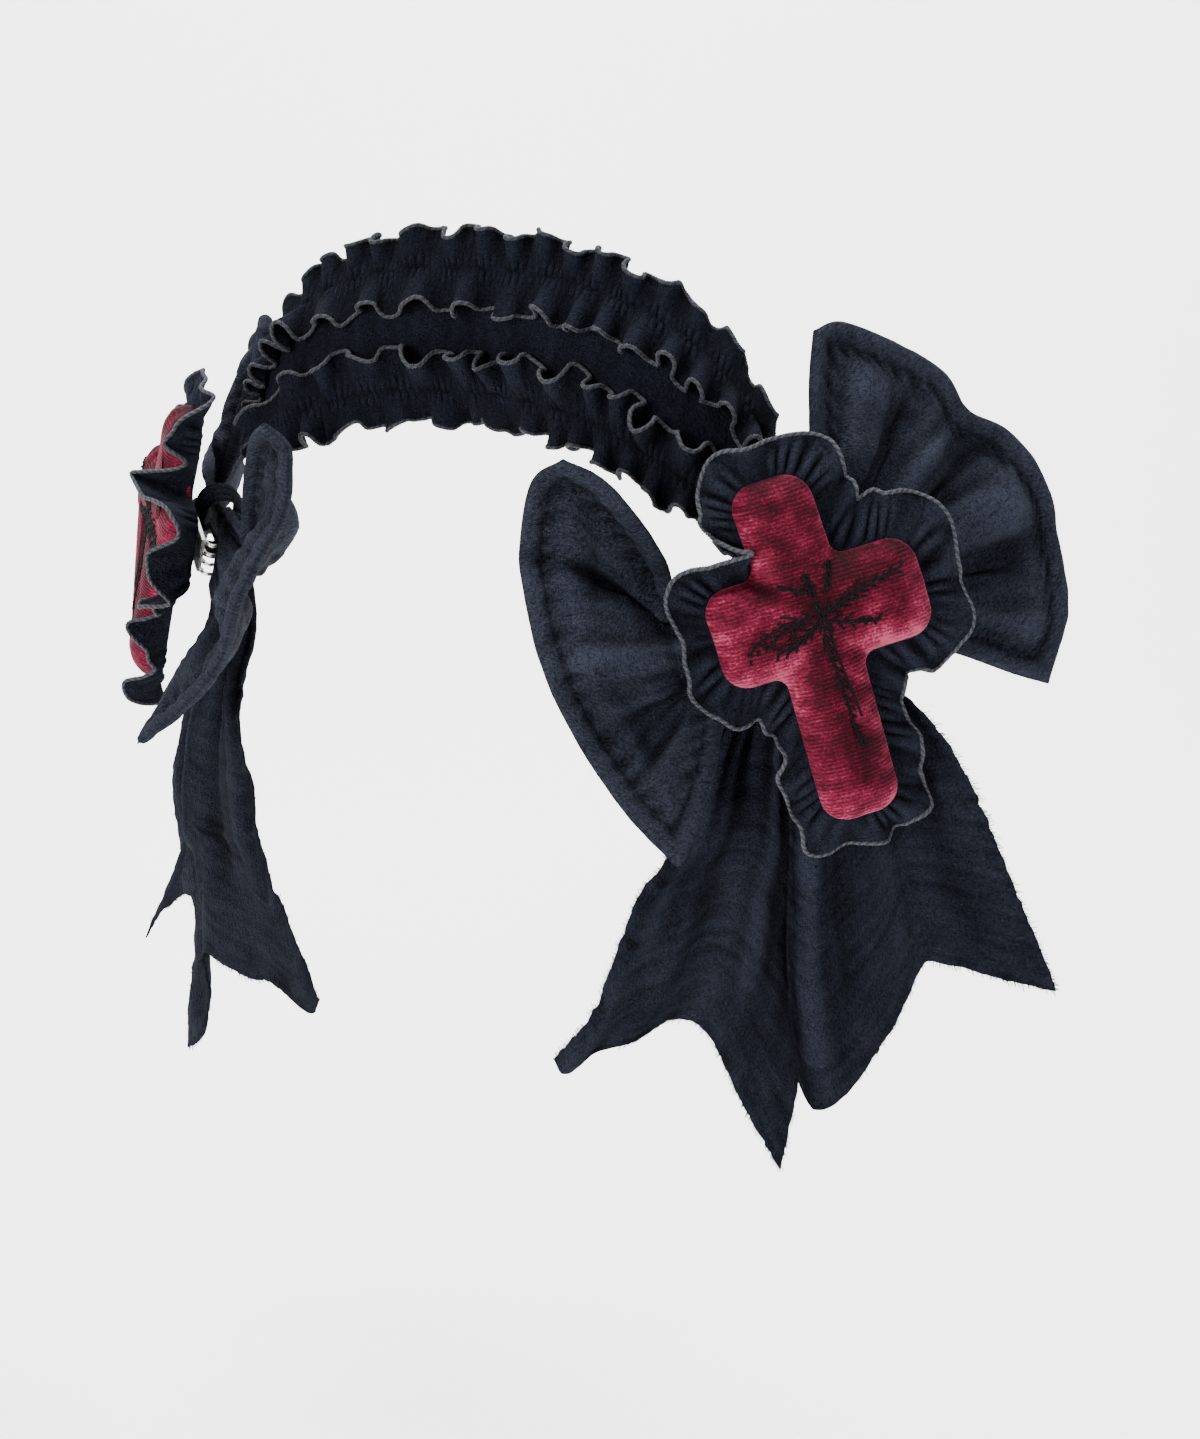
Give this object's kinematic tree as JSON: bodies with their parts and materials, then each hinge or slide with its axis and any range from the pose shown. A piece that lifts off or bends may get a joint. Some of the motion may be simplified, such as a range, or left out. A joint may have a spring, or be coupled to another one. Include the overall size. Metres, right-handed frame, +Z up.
{
  "type": "nurse headdress",
  "caption": "Brim-shaped cloth headdress with gathered ruffles, padded side bows, pointed tails and velvet crosses with frilled edges.",
  "frame": {"origin": "head_seat: inner face of the band in the middle of its top, where it rests on the head", "axes": "+X towards the wearer's left, -Y the way the wearer faces, +Z up as worn"},
  "size_m": [0.3632, 0.1295, 0.3004],
  "materials": {
    "black_cotton": "crinkled double gauze",
    "padded_black_cotton": "padded double layer, topstitched rim",
    "burgundy_velvet": "ribbed stretch velvet",
    "nickel": "plated"
  },
  "bodies": {
    "root": {"band": "black_cotton", "ruffle_front": "black_cotton", "ruffle_back": "black_cotton", "bow_left": "padded_black_cotton", "bow_right": "padded_black_cotton", "knot_left": "black_cotton", "knot_right": "black_cotton", "tail_front_left": "black_cotton", "tail_front_right": "black_cotton", "tail_back_left": "black_cotton", "tail_back_right": "black_cotton", "cross_pad_left": "burgundy_velvet", "cross_pad_right": "burgundy_velvet", "cross_frill_left": "black_cotton", "cross_frill_right": "black_cotton", "cross_clip_left": "nickel", "cross_clip_right": "nickel"}
  },
  "joints": []
}
